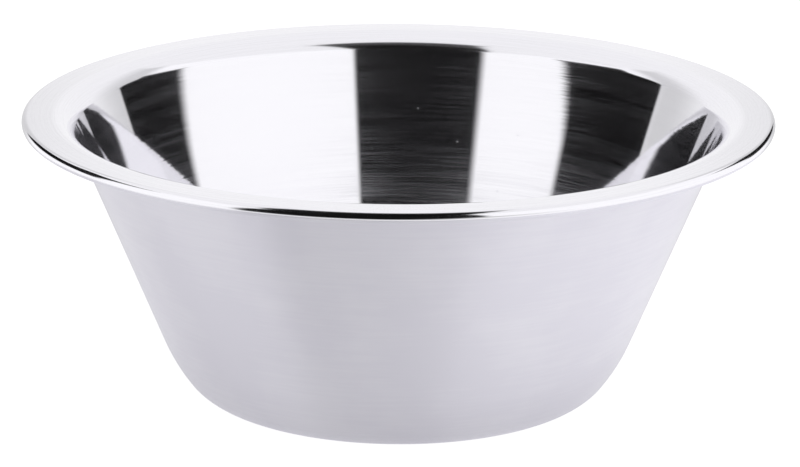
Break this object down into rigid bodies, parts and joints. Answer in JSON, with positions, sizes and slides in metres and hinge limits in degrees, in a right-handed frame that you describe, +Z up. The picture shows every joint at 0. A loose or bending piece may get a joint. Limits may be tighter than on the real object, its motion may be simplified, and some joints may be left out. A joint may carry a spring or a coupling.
{
  "type": "shaving bowl",
  "caption": "Round conical bowl of pressed stainless sheet with a wide flat brim and a wired, rolled edge, for working up shaving lather.",
  "frame": {"origin": "centre of the base, on the surface that the bowl stands on", "axes": "+Z up along the axis of the bowl, from the base to its open mouth; X and Y are any two level directions, because the bowl is round"},
  "size_m": [0.16, 0.16, 0.0612],
  "materials": {
    "sheet_steel": "fine circular satin outside, mirror polish inside and on the brim",
    "wire_steel": "plain drawn wire"
  },
  "bodies": {
    "root": {"bowl_shell": "sheet_steel", "rim_wire": "wire_steel"}
  },
  "joints": []
}
